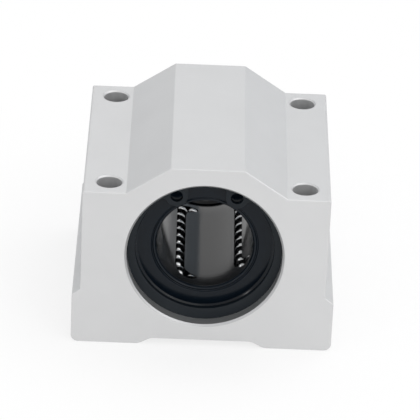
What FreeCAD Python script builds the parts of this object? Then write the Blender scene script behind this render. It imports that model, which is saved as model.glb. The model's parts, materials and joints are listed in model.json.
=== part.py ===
import FreeCAD, Part
import math
import os

# Linear bearing block for a 20 mm shaft: an extruded aluminium housing that carries one
# sealed recirculating ball bearing between two circlips.
# All sizes are in millimetres. The shaft runs along Y, Z is up, and the origin is the middle
# of the base. The front of the block faces -Y.

V = FreeCAD.Vector

# ---------------------------------------------------------------- driving sizes

# Shaft and balls
shaft_diameter = 20.0
ball_diameter = 3.175
ball_to_shaft_play = 0.02        # radial play between a loaded ball and the shaft
ball_to_ball_play = 0.165        # gap between neighbouring balls of a circuit
ball_to_raceway_play = 0.025     # radial play between a loaded ball and the outer cylinder
ball_to_channel_play = 0.05      # play all round a ball in the straight channels
ball_to_turn_play = 0.12         # play all round a ball in the turns
circuit_count = 5
first_circuit_angle = 25.4       # degrees from +X towards +Z
balls_per_turn = 3
loop_tilt = 2.0                  # degrees by which a loop leans in towards the shaft

# Ball retainer
retainer_to_shaft_play = 0.45
retainer_to_cylinder_play = 0.10
retainer_end_wall = 1.4          # least wall beyond the turning balls
retainer_edge_round = 0.3
retainer_entry_length = 4.25     # at each end the cage opens out a little, in a curve
retainer_entry_rise = 0.2
retainer_entry_steps = 5

# Outer cylinder of the bearing
bearing_section = 6.0            # from the shaft to the outside of the bearing
bearing_length = 42.0
ring_groove_inset = 5.75         # from the end of the bearing to the outer groove's far wall
ring_groove_width = 1.6
ring_groove_depth = 0.75
cylinder_end_chamfer = 0.5
cylinder_mouth_chamfer = 0.2
seal_seat_wall = 1.5             # wall outside the seal

# Snap ring and seal at each end of the bearing
snap_ring_thickness = 0.6
snap_ring_width = 2.9
snap_ring_gap = 3.0
snap_ring_groove_depth = 0.4
snap_ring_play = 0.04
seal_thickness = 1.05
seal_inset = 1.3                 # seal face below the end of the bearing
seal_outer_play = 0.02
seal_rim_width = 0.53            # sloping rim round the outside of the seal face
seal_rim_height = 0.4
seal_rim_round = 0.3
seal_throat_play = 1.15          # inner edge of the seal face, to the shaft
seal_throat_round = 0.1
seal_groove_play = 0.9           # groove round the lip, to the shaft
seal_groove_depth = 0.35
seal_bead_play = 0.4             # rounded bead in front of the lip, to the shaft
seal_bead_rise = 0.05
seal_bead_round = 0.3
seal_lip_play = 0.03             # lip to shaft
seal_lip_depth = 0.5             # lip band's start below the seal face
seal_lip_band = 0.3
seal_lip_round = 0.08
seal_back_play = 0.6

# Housing block
bearing_fit_play = 0.01          # radial
bearing_recess = 4.0             # bearing's end below the block's end face
wall_below_bore = 4.99
wall_above_bore = 3.99
bore_mouth_chamfer = 0.4
bolt_to_bore_wall = 0.99         # thinnest wall between a bolt hole and the bore
bolt_to_side = 7.0
bolt_to_end = 5.0
thread_diameter = 6.0
thread_depth = 12.0
thread_mouth_diameter = 6.6
bolt_hole_diameter = 5.2
bolt_hole_mouth_diameter = 5.8
flange_height = 11.0
waist_inset = 1.75
waist_rise = 1.4
slope_rise = 6.0
slope_foot_clear = 0.7           # slope's foot to the mouth of a bolt hole
plateau_width = 15.0
base_pad_width = 14.0
base_relief_depth = 1.4
base_relief_ramp = 2.6
base_relief_round = 3.0
base_corner_round = 1.5
profile_round = 0.45
end_chamfer = 0.15

# Circlips in the housing bore
circlip_thickness = 1.2
circlip_groove_width = 1.3
circlip_groove_depth = 0.85
circlip_play = 0.03
circlip_width_back = 3.2         # opposite the lugs
circlip_width_front = 1.75       # where the ring would close between the lugs
circlip_lug_angle = 26.6         # of each lug's hole from the top
circlip_lug_inset = 3.08         # of the lug's hole from the ring's outside
circlip_lug_radius = 2.3
circlip_lug_hole = 2.5
circlip_lug_fillet = 1.0
circlip_edge_round = 0.12

# ---------------------------------------------------------------- derived sizes

shaft_radius = shaft_diameter / 2
ball_radius = ball_diameter / 2
channel_radius = ball_radius + ball_to_channel_play
turn_channel_radius = ball_radius + ball_to_turn_play
ball_pitch = ball_diameter + ball_to_ball_play
turn_radius = balls_per_turn * ball_pitch / math.pi
loaded_row_radius = shaft_radius + ball_to_shaft_play + ball_radius
raceway_radius = loaded_row_radius + ball_radius + ball_to_raceway_play

bearing_radius = shaft_radius + bearing_section
bearing_end = bearing_length / 2
seal_seat_radius = bearing_radius - seal_seat_wall
seal_face = bearing_end - seal_inset
seal_back = seal_face - seal_thickness
retainer_end = seal_back - snap_ring_thickness
retainer_inner_radius = shaft_radius + retainer_to_shaft_play
retainer_outer_radius = raceway_radius - retainer_to_cylinder_play

# As many loaded balls as the retainer's length leaves room for
straight_room = 2 * (retainer_end - retainer_end_wall - turn_radius - turn_channel_radius)
balls_per_row = int(straight_room / ball_pitch)
row_length = balls_per_row * ball_pitch
row_end = row_length / 2

bore_radius = bearing_radius + bearing_fit_play
bore_height = bore_radius + wall_below_bore
block_height = bore_height + bore_radius + wall_above_bore
bolt_x = bore_radius + bolt_to_bore_wall + thread_diameter / 2
block_half_width = bolt_x + bolt_to_side
block_end = bearing_end + bearing_recess
bolt_y = block_end - bolt_to_end
shoulder_height = block_height - slope_rise
slope_foot = bolt_x - bolt_hole_mouth_diameter / 2 - slope_foot_clear


# ---------------------------------------------------------------- shapes in general

def turned(profile):
    """A solid turned about the Y axis from (radius, y) points."""
    points = [V(radius, y, 0) for radius, y in profile]
    face = Part.Face(Part.makePolygon(points + points[:1]))
    return face.revolve(V(0, 0, 0), V(0, 1, 0), 360)


def cylinder_y(radius, y_from, y_to):
    """A cylinder along the Y axis."""
    return Part.makeCylinder(radius, y_to - y_from, V(0, y_from, 0), V(0, 1, 0))


def rounded_outline(corners):
    """A closed wire in the XZ plane through (x, z, rounding) corners. A rounding of 0 is sharp."""
    starts, ends, edges = [], [], []
    for i, (x, z, rounding) in enumerate(corners):
        here = V(x, 0, z)
        back = (V(corners[i - 1][0], 0, corners[i - 1][1]) - here).normalize()
        after = corners[(i + 1) % len(corners)]
        on = (V(after[0], 0, after[1]) - here).normalize()
        half_angle = back.getAngle(on) / 2
        start = here + back * (rounding / math.tan(half_angle))
        end = here + on * (rounding / math.tan(half_angle))
        if rounding > 0:
            inward = (back + on).normalize()
            middle = here + inward * (rounding / math.sin(half_angle) - rounding)
            edges.append(Part.Arc(start, middle, end).toShape())
        starts.append(start)
        ends.append(end)
    for i in range(len(corners)):
        edges.append(Part.LineSegment(ends[i], starts[(i + 1) % len(corners)]).toShape())
    return Part.Wire(Part.__sortEdges__(edges))


def turned_rounded(corners):
    """A solid turned about the Y axis from (radius, y, rounding) corners."""
    about_z = Part.Face(rounded_outline(corners)).revolve(V(0, 0, 0), V(0, 0, 1), 360)
    return about_z.rotated(V(0, 0, 0), V(1, 0, 0), -90)


def write(node, shape):
    """Save one node as its own STEP file."""
    shape.exportStep("parts/" + node + ".step")


def at_bore(shape):
    """Lift a shape that was built about the Y axis up to the bore."""
    return shape.translated(V(0, 0, bore_height))


def facing_back(shape):
    """The same piece at the back end, turned round the vertical."""
    return shape.rotated(V(0, 0, 0), V(0, 0, 1), 180)


# ---------------------------------------------------------------- housing block

def block_outline():
    """The section of the extrusion, anticlockwise from the right foot."""
    pad_inner = block_half_width - base_pad_width
    waist = block_half_width - waist_inset
    right = [
        (pad_inner - base_relief_ramp, base_relief_depth, base_relief_round),
        (pad_inner, 0, base_relief_round),
        (block_half_width, 0, base_corner_round),
        (block_half_width, flange_height, profile_round),
        (waist, flange_height + waist_rise, profile_round),
        (waist, shoulder_height, profile_round),
        (slope_foot, shoulder_height, profile_round),
        (plateau_width / 2, block_height, profile_round),
    ]
    left = [(-x, z, rounding) for x, z, rounding in reversed(right)]
    return rounded_outline(right + left)


def bolt_hole():
    """Cutter for one bolt hole: a clear hole with a tapped length at the base."""
    hole_radius = bolt_hole_diameter / 2
    thread_radius = thread_diameter / 2
    top_mouth_radius = bolt_hole_mouth_diameter / 2
    base_mouth_radius = thread_mouth_diameter / 2
    top_chamfer = top_mouth_radius - hole_radius
    base_chamfer = base_mouth_radius - thread_radius
    profile = [
        V(0, 0, 0),
        V(base_mouth_radius, 0, 0),
        V(thread_radius, 0, base_chamfer),
        V(thread_radius, 0, thread_depth),
        V(hole_radius, 0, thread_depth),
        V(hole_radius, 0, shoulder_height - top_chamfer),
        V(top_mouth_radius, 0, shoulder_height),
        V(0, 0, shoulder_height),
    ]
    face = Part.Face(Part.makePolygon(profile + profile[:1]))
    return face.revolve(V(0, 0, 0), V(0, 0, 1), 360)


def circlip_groove(y_front):
    """Cutter for a circlip groove whose wall nearest the mouth is at y_front."""
    return cylinder_y(bore_radius + circlip_groove_depth, y_front, y_front + circlip_groove_width)


def housing_block():
    """The extruded and machined block."""
    section = Part.Face(block_outline()).translated(V(0, -block_end, 0))
    block = section.extrude(V(0, 2 * block_end, 0))
    end_edges = []
    for edge in block.Edges:
        middle = edge.CenterOfMass
        if abs(abs(middle.y) - block_end) < 0.001:
            end_edges.append(edge)
    block = block.makeChamfer(end_chamfer, end_edges)

    mouth = bore_radius + bore_mouth_chamfer
    bore = turned([
        (0, -block_end), (mouth, -block_end), (bore_radius, bore_mouth_chamfer - block_end),
        (bore_radius, block_end - bore_mouth_chamfer), (mouth, block_end), (0, block_end),
    ])
    groove_play = (circlip_groove_width - circlip_thickness) / 2
    groove = circlip_groove(-bearing_end - circlip_thickness - groove_play)
    cutters = [at_bore(bore), at_bore(groove), at_bore(facing_back(groove))]
    for x in (-bolt_x, bolt_x):
        for y in (-bolt_y, bolt_y):
            cutters.append(bolt_hole().translated(V(x, y, 0)))
    return block.cut(cutters)


# ---------------------------------------------------------------- circlips

def circlip():
    """The front circlip, lying against the end of the bearing."""
    y_front = -bearing_end - circlip_thickness
    y_back = -bearing_end
    outer_radius = bore_radius + circlip_groove_depth - circlip_play
    inner_radius = outer_radius - (circlip_width_back + circlip_width_front) / 2
    inner_shift = (circlip_width_back - circlip_width_front) / 2
    disc = cylinder_y(outer_radius, y_front, y_back)
    ring = disc.cut(cylinder_y(inner_radius, y_front, y_back).translated(V(0, 0, inner_shift)))

    lug_reach = outer_radius - circlip_lug_inset
    lug_x = lug_reach * math.sin(math.radians(circlip_lug_angle))
    lug_z = lug_reach * math.cos(math.radians(circlip_lug_angle))
    gap = lug_x - circlip_lug_radius
    ring = ring.cut(Part.makeBox(2 * gap, circlip_thickness, outer_radius, V(-gap, y_front, 0)))
    for side in (-1, 1):
        centre = V(side * lug_x, 0, lug_z)
        lug = cylinder_y(circlip_lug_radius, y_front, y_back).translated(centre)
        root_x = gap if side > 0 else -lug_x
        root = Part.makeBox(circlip_lug_radius, circlip_thickness, outer_radius - lug_z,
                            V(root_x, y_front, lug_z))
        ring = ring.fuse([lug, root.common(disc)])
    ring = ring.removeSplitter()

    # Round the inside corner where each lug grows out of the ring
    corners = []
    for edge in ring.Edges:
        middle = edge.CenterOfMass
        from_lug = math.hypot(abs(middle.x) - lug_x, middle.z - lug_z)
        from_ring = math.hypot(middle.x, middle.z - inner_shift)
        on_lug = abs(from_lug - circlip_lug_radius) < 0.001
        on_ring = abs(from_ring - inner_radius) < 0.001
        if on_lug and on_ring:
            corners.append(edge)
    ring = ring.makeFillet(circlip_lug_fillet, corners)

    for side in (-1, 1):
        hole = cylinder_y(circlip_lug_hole / 2, y_front, y_back)
        ring = ring.cut(hole.translated(V(side * lug_x, 0, lug_z)))

    # Take the sharpness off the edges of both flat faces
    rims = []
    for edge in ring.Edges:
        if edge.BoundBox.YLength < circlip_edge_round:
            rims.append(edge)
    return ring.makeFillet(circlip_edge_round, rims)


# ---------------------------------------------------------------- ball circuits

class Circuit:
    """One endless loop of balls, flat and leaning in towards the shaft by loop_tilt."""

    def __init__(self, index):
        angle = math.radians(first_circuit_angle + index * 360 / circuit_count)
        tilt = math.radians(loop_tilt)
        radial = V(math.cos(angle), 0, math.sin(angle))
        tangent = V(-math.sin(angle), 0, math.cos(angle))
        self.across = tangent * math.cos(tilt) - radial * math.sin(tilt)
        self.outward = radial * math.cos(tilt) + tangent * math.sin(tilt)
        self.loaded = radial * loaded_row_radius
        self.middle = self.loaded + self.across * turn_radius
        self.unloaded = self.loaded + self.across * (2 * turn_radius)

    def row(self, start):
        """Balls of a straight row through the point start."""
        balls = []
        for i in range(balls_per_row):
            along = V(0, (i + 0.5) * ball_pitch - row_end, 0)
            balls.append(Part.makeSphere(ball_radius, start + along))
        return Part.makeCompound(balls)

    def turn(self, end):
        """Balls that turn round at one end: 1 for the back, -1 for the front."""
        balls = []
        for i in range(balls_per_turn):
            angle = math.pi * (i + 0.5) / balls_per_turn
            across = self.across * (-turn_radius * math.cos(angle))
            along = V(0, end * (row_end + turn_radius * math.sin(angle)), 0)
            balls.append(Part.makeSphere(ball_radius, self.middle + across + along))
        return Part.makeCompound(balls)

    def groove_section(self, centre, radius):
        """A U-shaped section round a row of balls, open to the outside."""
        side = self.across * radius
        up = self.outward * bearing_section
        down = self.outward * radius
        floor = Part.Arc(centre - side, centre - down, centre + side).toShape()
        right = Part.LineSegment(centre + side, centre + side + up).toShape()
        top = Part.LineSegment(centre + side + up, centre - side + up).toShape()
        left = Part.LineSegment(centre - side + up, centre - side).toShape()
        return Part.Face(Part.Wire([floor, right, top, left]))

    def pipe_section(self, centre, radius):
        """A round section with play round a row of balls."""
        circle = Part.Circle(centre, V(0, 1, 0), radius).toShape()
        return Part.Face(Part.Wire([circle]))

    def swept(self, section, rows):
        """Sweep a section along the given straight rows and round both turns."""
        front = V(0, -row_end, 0)
        back = V(0, row_end, 0)
        sweeps = []
        for row in rows:
            sweeps.append(section(row + front, channel_radius).extrude(V(0, row_length, 0)))
        loaded_front = section(self.loaded + front, turn_channel_radius)
        loaded_back = section(self.loaded + back, turn_channel_radius)
        sweeps.append(loaded_front.revolve(self.middle + front, self.outward, -180))
        sweeps.append(loaded_back.revolve(self.middle + back, self.outward, 180))
        return sweeps

    def retainer_cutters(self):
        """The endless groove that the balls run in."""
        return self.swept(self.groove_section, [self.loaded, self.unloaded])

    def cylinder_cutters(self):
        """Room in the outer cylinder for the balls that carry no load."""
        return self.swept(self.pipe_section, [self.unloaded])


# ---------------------------------------------------------------- bearing

def outer_cylinder(circuits):
    """Hardened cylinder with the raceways, and a seat for snap ring and seal at each end."""
    groove_outer = bearing_end - ring_groove_inset
    groove_inner = groove_outer - ring_groove_width
    groove_floor = bearing_radius - ring_groove_depth
    outside = [
        (bearing_radius - cylinder_end_chamfer, bearing_end),
        (bearing_radius, bearing_end - cylinder_end_chamfer),
        (bearing_radius, groove_outer),
        (groove_floor, groove_outer),
        (groove_floor, groove_inner),
        (bearing_radius, groove_inner),
    ]
    ring_groove = seal_seat_radius + snap_ring_groove_depth
    inside = [
        (raceway_radius, retainer_end),
        (ring_groove, retainer_end),
        (ring_groove, seal_back + snap_ring_play),
        (seal_seat_radius, seal_back + snap_ring_play),
        (seal_seat_radius, bearing_end - cylinder_mouth_chamfer),
        (seal_seat_radius + cylinder_mouth_chamfer, bearing_end),
    ]
    back_half = inside + outside
    front_half = [(radius, -y) for radius, y in reversed(back_half)]
    cylinder = turned(back_half + front_half)
    cutters = []
    for circuit in circuits:
        cutters.extend(circuit.cylinder_cutters())
    return cylinder.cut(cutters)


def ball_retainer(circuits):
    """Moulded cage that guides the balls and keeps them in when the shaft is out."""
    front = []
    for step in range(retainer_entry_steps + 1):
        along = step / retainer_entry_steps
        radius = retainer_inner_radius + retainer_entry_rise * (1 - along) ** 2
        rounding = 0 if step else retainer_edge_round
        front.append((radius, along * retainer_entry_length - retainer_end, rounding))
    back = [(radius, -y, rounding) for radius, y, rounding in reversed(front)]
    outside = [(retainer_outer_radius, retainer_end, 0), (retainer_outer_radius, -retainer_end, 0)]
    cage = turned_rounded(front + back + outside)
    cutters = []
    for circuit in circuits:
        cutters.extend(circuit.retainer_cutters())
    return cage.cut(cutters)


def snap_ring():
    """The front snap ring that holds the retainer in the cylinder."""
    outer = seal_seat_radius + snap_ring_groove_depth - snap_ring_play
    inner = outer - snap_ring_width
    ring = turned([
        (inner, -seal_back), (outer, -seal_back), (outer, -retainer_end), (inner, -retainer_end),
    ])
    gap = Part.makeBox(snap_ring_gap, snap_ring_thickness, outer,
                       V(-snap_ring_gap / 2, -seal_back, 0))
    return ring.cut(gap)


def seal():
    """The front seal: a rubber disc with a sloping rim and a beaded lip that wipes the shaft."""
    outer = seal_seat_radius - seal_outer_play
    lip = shaft_radius + seal_lip_play
    lip_front = seal_lip_depth - seal_face
    return turned_rounded([
        (outer, -seal_face - seal_rim_height, 0),
        (outer - seal_rim_width, -seal_face, seal_rim_round),
        (shaft_radius + seal_throat_play, -seal_face, seal_throat_round),
        (shaft_radius + seal_groove_play, seal_groove_depth - seal_face, seal_throat_round),
        (shaft_radius + seal_bead_play, -seal_face - seal_bead_rise, seal_bead_round),
        (lip, lip_front, seal_lip_round),
        (lip, lip_front + seal_lip_band, seal_lip_round),
        (shaft_radius + seal_back_play, -seal_back, 0),
        (outer, -seal_back, 0),
    ])


# ---------------------------------------------------------------- the pieces

os.makedirs("parts", exist_ok=True)
loops = [Circuit(i) for i in range(circuit_count)]

write("housing_block", housing_block())
write("bearing_outer_cylinder", at_bore(outer_cylinder(loops)))
write("ball_retainer", at_bore(ball_retainer(loops)))
for number, loop in enumerate(loops, start=1):
    name = "circuit_" + str(number)
    write(name + "_loaded_balls", at_bore(loop.row(loop.loaded)))
    write(name + "_return_balls", at_bore(loop.row(loop.unloaded)))
    write(name + "_front_turn_balls", at_bore(loop.turn(-1)))
    write(name + "_rear_turn_balls", at_bore(loop.turn(1)))
for place, piece in (("snap_ring", snap_ring()), ("seal", seal()), ("circlip", circlip())):
    write("front_" + place, at_bore(piece))
    write("rear_" + place, at_bore(facing_back(piece)))
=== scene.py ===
import json
import math

import bmesh
import bpy
from mathutils import Matrix, Vector


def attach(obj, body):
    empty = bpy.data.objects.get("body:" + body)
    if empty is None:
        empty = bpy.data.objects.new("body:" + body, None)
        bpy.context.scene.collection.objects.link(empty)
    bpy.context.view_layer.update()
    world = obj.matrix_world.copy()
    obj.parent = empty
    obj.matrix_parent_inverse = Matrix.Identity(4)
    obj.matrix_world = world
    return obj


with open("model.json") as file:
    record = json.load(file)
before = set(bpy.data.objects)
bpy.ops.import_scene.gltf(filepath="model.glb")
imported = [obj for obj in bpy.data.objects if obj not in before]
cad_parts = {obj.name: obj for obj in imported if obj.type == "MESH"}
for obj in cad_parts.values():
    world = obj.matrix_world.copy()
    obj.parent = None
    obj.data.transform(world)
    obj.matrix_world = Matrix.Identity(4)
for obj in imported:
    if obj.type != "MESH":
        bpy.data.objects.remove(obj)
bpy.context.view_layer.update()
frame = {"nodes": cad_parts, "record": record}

# Linear bearing block for a 20 mm shaft: looks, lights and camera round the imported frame.
# Lengths are in metres. The shaft runs along Y, Z is up, and the front faces -Y.

MM = 0.001
bore_mount = next(m for m in frame["record"]["mounts"] if m["name"] == "shaft_bore")
thread_mount = next(m for m in frame["record"]["mounts"] if m["name"] == "base_threads")
bore_height = bore_mount["pos_m"][2]
half_x = thread_mount["dims"]["spacing_x_mm"] * MM / 2
half_y = thread_mount["dims"]["spacing_y_mm"] * MM / 2

# Where the housing's machined walls have a finish of their own, and where the chamfer at the
# bore's mouth gets painted shade
BORE_RADIUS = 16.01 * MM         # just outside the bore's wall
MOUTH_RADIUS = 16.41 * MM        # just outside the chamfer at the bore's mouth
WALL_BLEND = 0.04 * MM           # the finish changes over this width
HOLE_FULL = 3.05 * MM            # the drilled finish fades between these distances
HOLE_NONE = 3.35 * MM            # from a bolt hole's axis
END_NONE = 0.80                  # a face counts as a milled end by how far
END_FULL = 0.95                  # its normal runs along the shaft


# ---------------------------------------------------------------- shader nodes

class Value:
    """What a socket gives. Arithmetic on it adds Math nodes."""

    def __init__(self, nodes, socket):
        self.nodes = nodes
        self.socket = socket

    def math(self, operation, first, second):
        return self.nodes.add("ShaderNodeMath", {"operation": operation}, {0: first, 1: second})

    def __add__(self, other):
        return self.math("ADD", self, other)

    def __sub__(self, other):
        return self.math("SUBTRACT", self, other)

    def __rsub__(self, other):
        return self.math("SUBTRACT", other, self)

    def __mul__(self, other):
        return self.math("MULTIPLY", self, other)

    __radd__ = __add__
    __rmul__ = __mul__

    def above(self, other):
        """The larger of two values."""
        return self.math("MAXIMUM", self, other)

    def unsigned(self):
        """The value without its sign."""
        return self.math("ABSOLUTE", self, 0)


class Nodes:
    """The shader nodes of a material or of the world."""

    def __init__(self, owner):
        owner.use_nodes = True
        self.tree = owner.node_tree
        self.tree.nodes.clear()

    def add(self, kind, settings=None, inputs=None, output=0):
        """A node: its settings are made first, then its sockets get values or links."""
        node = self.tree.nodes.new(kind)
        for name, value in (settings or {}).items():
            setattr(node, name, value)
        for name, value in (inputs or {}).items():
            if isinstance(value, Value):
                self.tree.links.new(value.socket, node.inputs[name])
            else:
                node.inputs[name].default_value = value
        return Value(self, node.outputs[output]) if len(node.outputs) else None

    def seen_directly(self):
        """1 for what the camera, a reflection or glass shows, 0 for what lights the object."""
        camera = self.add("ShaderNodeLightPath", output="Is Camera Ray")
        mirror = self.add("ShaderNodeLightPath", output="Is Glossy Ray")
        glass = self.add("ShaderNodeLightPath", output="Is Transmission Ray")
        return camera.above(mirror).above(glass)

    def axis(self, vector, index):
        """One of a vector's three numbers."""
        return self.add("ShaderNodeSeparateXYZ", None, {0: vector}, output=index)

    def fade(self, value, low, high):
        """0 up to low, 1 from high on, and a smooth course between."""
        return self.add("ShaderNodeMapRange", {"interpolation_type": "SMOOTHSTEP"},
                        {"Value": value, "From Min": low, "From Max": high})


class Finish(Nodes):
    """The material of one finish, in the part's own coordinates."""

    FIRST_COLOUR, SECOND_COLOUR, MIXED_COLOUR = 6, 7, 2      # colour sockets of a Mix node

    def __init__(self, name):
        self.material = bpy.data.materials.new(name)
        super().__init__(self.material)
        self.place = self.add("ShaderNodeTexCoord", output="Object")
        self.facing = self.add("ShaderNodeTexCoord", output="Normal")

    def stretched(self, where, along):
        """A vector whose three numbers are each multiplied by their own."""
        return self.add("ShaderNodeVectorMath", {"operation": "MULTIPLY"}, {0: where, 1: along})

    def noise(self, size, stretch=(1, 1, 1), detail=2.0, where=None):
        """An irregular pattern from 0 to 1 whose spots are about size across."""
        spots = self.stretched(where or self.place, stretch)
        return self.add("ShaderNodeTexNoise", None,
                        {"Vector": spots, "Scale": 1 / size, "Detail": detail, "Roughness": 0.5})

    def blend(self, share, first, second):
        """One colour turning into another. Each is three numbers or an earlier blend."""
        first, second = (c if isinstance(c, Value) else (*c, 1) for c in (first, second))
        return self.add("ShaderNodeMix", {"data_type": "RGBA"},
                        {0: share, self.FIRST_COLOUR: first, self.SECOND_COLOUR: second},
                        output=self.MIXED_COLOUR)

    def from_axis(self):
        """The vector from the bore's axis, square to it."""
        lifted = self.add("ShaderNodeVectorMath", {"operation": "SUBTRACT"},
                          {0: self.place, 1: (0, 0, bore_height)})
        return self.stretched(lifted, (1, 0, 1))

    def radius(self):
        """Distance from the bore's axis."""
        return self.add("ShaderNodeVectorMath", {"operation": "LENGTH"},
                        {0: self.from_axis()}, output="Value")

    def from_bolts(self):
        """Distance from the axis of the nearest bolt hole."""
        folded = self.add("ShaderNodeVectorMath", {"operation": "ABSOLUTE"}, {0: self.place})
        level = self.stretched(folded, (1, 1, 0))
        return self.add("ShaderNodeVectorMath", {"operation": "DISTANCE"},
                        {0: level, 1: (half_x, half_y, 0)}, output="Value")

    def turned(self, pitch):
        """Fine lines that run round the bore's axis, on walls and on flat faces alike."""
        along = self.axis(self.place, 1)
        course = self.add("ShaderNodeCombineXYZ", None, {0: self.radius(), 1: along})
        return self.noise(pitch, detail=1.0, where=course)

    def relief(self, height, depth):
        """The normal of a surface with that pattern in it, depth deep."""
        return self.add("ShaderNodeBump", None, {"Height": height, "Distance": depth})

    def surface(self, inputs):
        shader = self.add("ShaderNodeBsdfPrincipled", None, inputs)
        self.add("ShaderNodeOutputMaterial", None, {"Surface": shader})
        return self.material


# ---------------------------------------------------------------- finishes

def anodised_aluminium():
    """Clear-anodised extrusion: satin skin, faint drawing lines, milled ends, bored holes, and
    painted shade darkening the chamfer at the bore's mouth.
    """
    finish = Finish("anodised_aluminium")
    tone = finish.noise(9 * MM, detail=3.0)
    grain = finish.noise(0.12 * MM, detail=3.0)
    drawn = finish.noise(0.16 * MM, stretch=(1, 0.012, 1), detail=2.0)
    on_end = finish.fade(finish.axis(finish.facing, 1).unsigned(), END_NONE, END_FULL)
    milled = finish.noise(0.2 * MM, stretch=(0.03, 1, 1), detail=2.0)
    in_bore = finish.fade(finish.radius(), MOUTH_RADIUS + WALL_BLEND, MOUTH_RADIUS)
    # The chamfer at the bore's mouth, whose colour is painted darker: painted shade that dims the
    # highlight on it.
    painted_shade_on_mouth = in_bore * finish.fade(finish.radius(), BORE_RADIUS, BORE_RADIUS + WALL_BLEND)
    in_hole = finish.fade(finish.from_bolts(), HOLE_NONE, HOLE_FULL)
    bored = in_bore.above(in_hole)
    skin = on_end * milled * 0.55 + (1 - on_end) * drawn * 0.8
    lines = bored * finish.turned(0.1 * MM) + (1 - bored) * skin
    skin_colour = finish.blend(tone, (0.600, 0.602, 0.606), (0.636, 0.638, 0.642))
    return finish.surface({
        # Painted shade: the mouth's chamfer gets a darker colour to dim its highlight.
        "Base Color": finish.blend(painted_shade_on_mouth, skin_colour, (0.52, 0.525, 0.53)),
        "Metallic": 0.6 + in_bore * 0.35 + in_hole * 0.12,
        "Roughness": 0.46 + grain * 0.07 + lines * 0.05 - bored * 0.04,
        "Normal": finish.relief(grain * 0.8 + lines, 0.006 * MM),
    })


def bearing_steel():
    """Hardened and ground steel of the bearing's outer cylinder."""
    finish = Finish("bearing_steel")
    lines = finish.turned(0.06 * MM)
    tone = finish.noise(4 * MM)
    return finish.surface({
        "Base Color": finish.blend(tone, (0.47, 0.47, 0.475), (0.55, 0.55, 0.555)),
        "Metallic": 1.0,
        "Roughness": 0.22 + lines * 0.12,
        "Normal": finish.relief(lines, 0.002 * MM),
    })


def black_resin():
    """Moulded black resin of the cage, with a gloss from the mould."""
    finish = Finish("black_resin")
    tone = finish.noise(2.5 * MM, detail=3.0)
    skin = finish.noise(0.25 * MM, detail=3.0)
    flow = finish.noise(1.6 * MM, stretch=(1, 0.3, 1))
    return finish.surface({
        "Base Color": finish.blend(tone, (0.004, 0.005, 0.0065), (0.008, 0.0095, 0.012)),
        "Roughness": 0.13 + skin * 0.10,
        "IOR": 1.5,
        "Normal": finish.relief(skin * 0.3 + flow, 0.010 * MM),
    })


def spring_steel():
    """Bright rolled spring steel of the snap rings inside the bearing."""
    finish = Finish("spring_steel")
    rolled = finish.noise(0.08 * MM, stretch=(0.05, 1, 1), detail=3.0)
    tone = finish.noise(3 * MM)
    return finish.surface({
        "Base Color": finish.blend(tone, (0.38, 0.38, 0.39), (0.46, 0.46, 0.47)),
        "Metallic": 1.0,
        "Roughness": 0.26 + rolled * 0.2,
        "Normal": finish.relief(rolled, 0.003 * MM),
    })


def black_rubber():
    """Nitrile rubber of the seals: a smooth moulded skin, with rings from the turned mould."""
    finish = Finish("black_rubber")
    tone = finish.noise(2.0 * MM, detail=3.0)
    skin = finish.noise(0.10 * MM, detail=3.0)
    rings = finish.turned(0.09 * MM)
    return finish.surface({
        "Base Color": finish.blend(tone, (0.0024, 0.0050, 0.0086), (0.0044, 0.0078, 0.0126)),
        "Roughness": 0.12 + skin * 0.10,
        "Specular IOR Level": 0.20,
        "Normal": finish.relief(skin + rings * 0.5, 0.003 * MM),
    })


def phosphated_steel():
    """Circlips: spring steel with a dark, slightly blue phosphate and oil finish."""
    finish = Finish("phosphated_steel")
    tone = finish.noise(1.8 * MM, detail=4.0)
    crystals = finish.noise(0.07 * MM, detail=3.0)
    return finish.surface({
        "Base Color": finish.blend(tone, (0.0036, 0.0066, 0.0098), (0.0062, 0.0100, 0.0142)),
        "Metallic": 0.0,
        "Roughness": 0.26 + crystals * 0.16,
        "Specular IOR Level": 0.24,
        "Normal": finish.relief(crystals, 0.003 * MM),
    })


def ball_steel():
    """Polished chrome steel balls under a trace of oil, coloured darker than bare chrome as
    painted shade standing in for the darker surroundings they would mirror.
    """
    finish = Finish("ball_steel")
    film = finish.noise(1.2 * MM, detail=2.0)
    polish = finish.noise(0.05 * MM, detail=2.0)
    return finish.surface({
        # Painted shade: the base colour is set well below bare chrome steel, so the balls mirror
        # darker.
        "Base Color": finish.blend(film, (0.30, 0.305, 0.31), (0.38, 0.385, 0.39)),
        "Metallic": 1.0,
        "Roughness": 0.02 + film * 0.03 + polish * 0.01,
        "Normal": finish.relief(polish, 0.0004 * MM),
    })


finishes = {
    "anodised_aluminium": anodised_aluminium(),
    "bearing_steel": bearing_steel(),
    "black_resin": black_resin(),
    "spring_steel": spring_steel(),
    "black_rubber": black_rubber(),
    "phosphated_steel": phosphated_steel(),
    "ball_steel": ball_steel(),
}

for node in frame["nodes"].values():
    for slot in node.material_slots:
        slot.material = finishes[slot.material.name.split(".")[0]]


# ---------------------------------------------------------------- threads in the base

THREAD_OUTER = thread_mount["dims"]["hole_r_mm"] * MM
THREAD_CREST = 2.6 * MM
THREAD_PITCH = 1.0 * MM
THREAD_START = 0.5 * MM          # above the base
THREAD_LENGTH = 12.0 * MM
THREAD_FLANK = math.tan(math.radians(30))
THREAD_HALF_ROOT = THREAD_PITCH * 7 / 16      # half the ridge's width at the wall
THREAD_STEPS = 40                # sections in a turn
THREAD_RUNOUT = 0.6              # of a turn, where the ridge grows out of the wall
THREAD_LEAST = 0.05              # share of its full height that the ridge has at its ends
THREAD_BITE = 0.01 * MM          # how far the ridge's root is set into the wall
SHARP_EDGE = math.radians(25)


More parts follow.
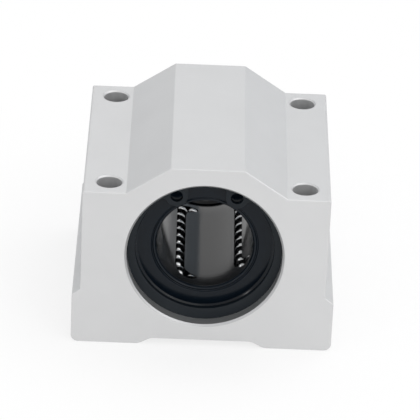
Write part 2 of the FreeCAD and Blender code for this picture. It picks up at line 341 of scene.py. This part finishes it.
def thread_ridge(name, x, y):
    """The helical ridge that a tap leaves in one hole."""
    turns = (THREAD_LENGTH - THREAD_START - THREAD_PITCH) / THREAD_PITCH
    root = THREAD_OUTER + THREAD_BITE
    mesh = bmesh.new()
    rings = []
    for step in range(round(turns * THREAD_STEPS) + 1):
        turned = step / THREAD_STEPS
        angle = 2 * math.pi * turned
        grown = min(1.0, turned / THREAD_RUNOUT, (turns - turned) / THREAD_RUNOUT)
        crest = THREAD_OUTER - max(grown, THREAD_LEAST) * (THREAD_OUTER - THREAD_CREST)
        half_crest = THREAD_HALF_ROOT - (THREAD_OUTER - crest) * THREAD_FLANK
        height = THREAD_START + THREAD_PITCH * (turned + 0.5)
        section = [(root, -THREAD_HALF_ROOT), (crest, -half_crest),
                   (crest, half_crest), (root, THREAD_HALF_ROOT)]
        rings.append([
            mesh.verts.new((x + r * math.cos(angle), y + r * math.sin(angle), height + rise))
            for r, rise in section
        ])
    for here, ahead in zip(rings, rings[1:]):
        for i in range(len(here)):
            j = (i + 1) % len(here)
            mesh.faces.new((here[i], ahead[i], ahead[j], here[j]))
    mesh.faces.new(rings[0])
    mesh.faces.new(reversed(rings[-1]))
    bmesh.ops.recalc_face_normals(mesh, faces=mesh.faces)
    data = bpy.data.meshes.new(name)
    mesh.to_mesh(data)
    mesh.free()
    data.polygons.foreach_set("use_smooth", [True] * len(data.polygons))
    data.set_sharp_from_angle(angle=SHARP_EDGE)
    data.materials.append(finishes["anodised_aluminium"])
    ridge = bpy.data.objects.new(name, data)
    bpy.context.scene.collection.objects.link(ridge)
    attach(ridge, "slide_block")


for side, x in (("left", -half_x), ("right", half_x)):
    for end, y in (("front", -half_y), ("rear", half_y)):
        thread_ridge(end + "_" + side + "_thread", x, y)


# ---------------------------------------------------------------- floor and surroundings

FLOOR_HALF = 6.0
FLOOR_DROP = 0.02 * MM
FLOOR_GREY = 0.86
FLOOR_EVEN = 0.72                # share of plain white in what is seen near the block
EVEN_FROM = 30 * MM              # the floor turns to plain white between these distances
EVEN_REACH = 95 * MM
DAYLIGHT = 0.92                  # the backdrop's brightness where it lights the object
CARD_DISTANCE = 1.0              # from the block's middle
CARD_HEIGHT = 0.9


def flat_piece(name, corners, material):
    """A four-cornered face of the studio."""
    data = bpy.data.meshes.new(name)
    data.from_pydata(corners, [], [(0, 1, 2, 3)])
    data.materials.append(material)
    piece = bpy.data.objects.new(name, data)
    bpy.context.scene.collection.objects.link(piece)
    return piece


def floor():
    """White paper, whose even white is mixed with the object's own shadow on it."""
    finish = Finish("floor")
    paper = (FLOOR_GREY, FLOOR_GREY, FLOOR_GREY, 1)
    matt = finish.add("ShaderNodeBsdfDiffuse", None, {"Color": paper})
    glow = finish.add("ShaderNodeEmission", None, {"Color": (1, 1, 1, 1), "Strength": 1.0})
    away = finish.add("ShaderNodeVectorMath", {"operation": "LENGTH"}, {0: finish.place},
                      output="Value")
    far = finish.fade(away, EVEN_FROM, EVEN_REACH)
    share = finish.seen_directly() * (FLOOR_EVEN + far * (1 - FLOOR_EVEN))
    mixed = finish.add("ShaderNodeMixShader", None, {0: share, 1: matt, 2: glow})
    finish.add("ShaderNodeOutputMaterial", None, {"Surface": mixed})
    corners = [(-1, -1), (1, -1), (1, 1), (-1, 1)]
    flat_piece("floor", [(x * FLOOR_HALF, y * FLOOR_HALF, -FLOOR_DROP) for x, y in corners],
               finish.material)


def side_card(name, turn_from, turn_to, darker, lighter):
    """A grey card behind the block, between two directions counted from +Y towards +X."""
    finish = Finish(name)
    fibres = finish.noise(3 * MM, detail=3.0)
    grey = finish.blend(fibres, darker, lighter)
    matt = finish.add("ShaderNodeBsdfDiffuse", None, {"Color": grey})
    finish.add("ShaderNodeOutputMaterial", None, {"Surface": matt})
    edges = []
    for turn in (turn_from, turn_to):
        angle = math.radians(turn)
        edges.append((CARD_DISTANCE * math.sin(angle), CARD_DISTANCE * math.cos(angle)))
    corners = [(x, y, 0) for x, y in edges] + [(x, y, CARD_HEIGHT) for x, y in reversed(edges)]
    card = flat_piece(name, corners, finish.material)
    card.visible_camera = False


def surroundings():
    """A white backdrop all round, dimmer where it lights the object."""
    world = bpy.data.worlds.new("studio")
    bpy.context.scene.world = world
    nodes = Nodes(world)
    strength = DAYLIGHT + nodes.seen_directly() * (1 - DAYLIGHT)
    shine = nodes.add("ShaderNodeBackground", None, {"Color": (1, 1, 1, 1), "Strength": strength})
    nodes.add("ShaderNodeOutputWorld", None, {"Surface": shine})


def lamp(name, direction, distance, width, brightness):
    """A square soft box in that direction from the bore, whose face has the given brightness."""
    middle = Vector((0, 0, bore_height))
    towards = Vector(direction).normalized()
    data = bpy.data.lights.new(name, "AREA")
    data.shape = "SQUARE"
    data.size = width
    data.energy = brightness * math.pi * width * width
    box = bpy.data.objects.new(name, data)
    box.location = middle + towards * distance
    box.rotation_mode = "QUATERNION"
    box.rotation_quaternion = (-towards).to_track_quat("-Z", "Y")
    box.visible_camera = False
    bpy.context.scene.collection.objects.link(box)


floor()
surroundings()
# The cage's lands and the block's slopes mirror the cards. They stand outside the picture.
side_card("dark_right_card", 6, 22, (0.34, 0.38, 0.42), (0.36, 0.40, 0.44))
side_card("pale_right_card", 22, 80, (0.75, 0.76, 0.77), (0.77, 0.78, 0.79))
side_card("left_card", -55, -27, (0.50, 0.52, 0.54), (0.52, 0.54, 0.56))
lamp("right_lamp", (0.46, -0.74, 0.45), 1.2, 1.0, 1.1)
lamp("top_lamp", (0.50, 0.35, 1.0), 1.2, 1.0, 1.3)
lamp("small_right_lamp", (0.50, -0.74, 0.45), 1.1, 0.07, 18.0)
lamp("small_left_lamp", (-0.68, -0.64, 0.35), 1.3, 0.09, 18.0)


# ---------------------------------------------------------------- camera

VIEW_TARGET = Vector((0.97, 0, 18.79)) * MM
VIEW_DISTANCE = 685.55 * MM
VIEW_TURN = math.radians(-0.61)
VIEW_RISE = math.radians(27.76)
VIEW_ROLL = math.radians(2.54)
LENS = 277.6                     # focal length and film width, in millimetres
FILM_WIDTH = 36.0


def camera():
    """The main view: from the front and above, turned and rolled a little."""
    back = Vector((math.sin(VIEW_TURN) * math.cos(VIEW_RISE),
                   -math.cos(VIEW_TURN) * math.cos(VIEW_RISE), math.sin(VIEW_RISE)))
    level = (-back).cross(Vector((0, 0, 1))).normalized()
    upright = level.cross(-back)
    right = level * math.cos(VIEW_ROLL) + upright * math.sin(VIEW_ROLL)
    up = upright * math.cos(VIEW_ROLL) - level * math.sin(VIEW_ROLL)
    place = Matrix((right, up, back)).transposed().to_4x4()
    place.translation = VIEW_TARGET + back * VIEW_DISTANCE
    data = bpy.data.cameras.new("camera")
    data.lens = LENS
    data.sensor_width = FILM_WIDTH
    data.clip_start = 0.01
    data.clip_end = 50.0
    view = bpy.data.objects.new("camera", data)
    view.matrix_world = place
    bpy.context.scene.collection.objects.link(view)
    bpy.context.scene.camera = view


camera()
bpy.context.scene.view_settings.view_transform = "Standard"
